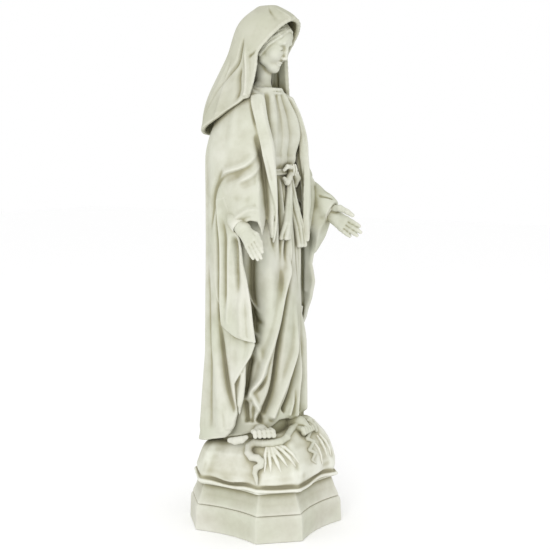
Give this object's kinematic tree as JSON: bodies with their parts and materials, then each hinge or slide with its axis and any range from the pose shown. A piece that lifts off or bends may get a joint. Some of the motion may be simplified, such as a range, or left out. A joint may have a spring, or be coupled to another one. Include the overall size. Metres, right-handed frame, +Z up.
{
  "type": "madonna statue",
  "caption": "Standing veiled Madonna with open hands, in a long gown and mantle, on a rocky mound with a serpent and a two-tier plinth.",
  "frame": {"origin": "centre of the plinth's underside, on the resting plane", "axes": "+Z up along the figure, -Y the way the figure faces, +X to the figure's left"},
  "size_m": [0.2077, 0.202, 0.75],
  "materials": {
    "cast_stone": "matte cast stone, pale sage cream, with a darker wash in the folds",
    "zinc_steel": "plain zinc-plated steel"
  },
  "bodies": {
    "root": {"plinth_lower_tier": "cast_stone", "plinth_upper_tier": "cast_stone", "rock_mound": "cast_stone", "serpent": "cast_stone", "leaf_spray": "cast_stone", "right_foot": "cast_stone", "left_foot": "cast_stone", "gown_skirt": "cast_stone", "gown_bodice": "cast_stone", "sash_band": "cast_stone", "sash_bow": "cast_stone", "mantle_back": "cast_stone", "mantle_right_fall": "cast_stone", "mantle_left_fall": "cast_stone", "right_cuff": "cast_stone", "left_cuff": "cast_stone", "right_hand": "cast_stone", "left_hand": "cast_stone", "head": "cast_stone", "veil": "cast_stone", "tie_rod": "zinc_steel", "rod_washers": "zinc_steel", "rod_nuts": "zinc_steel", "hand_dowels": "zinc_steel"}
  },
  "joints": []
}
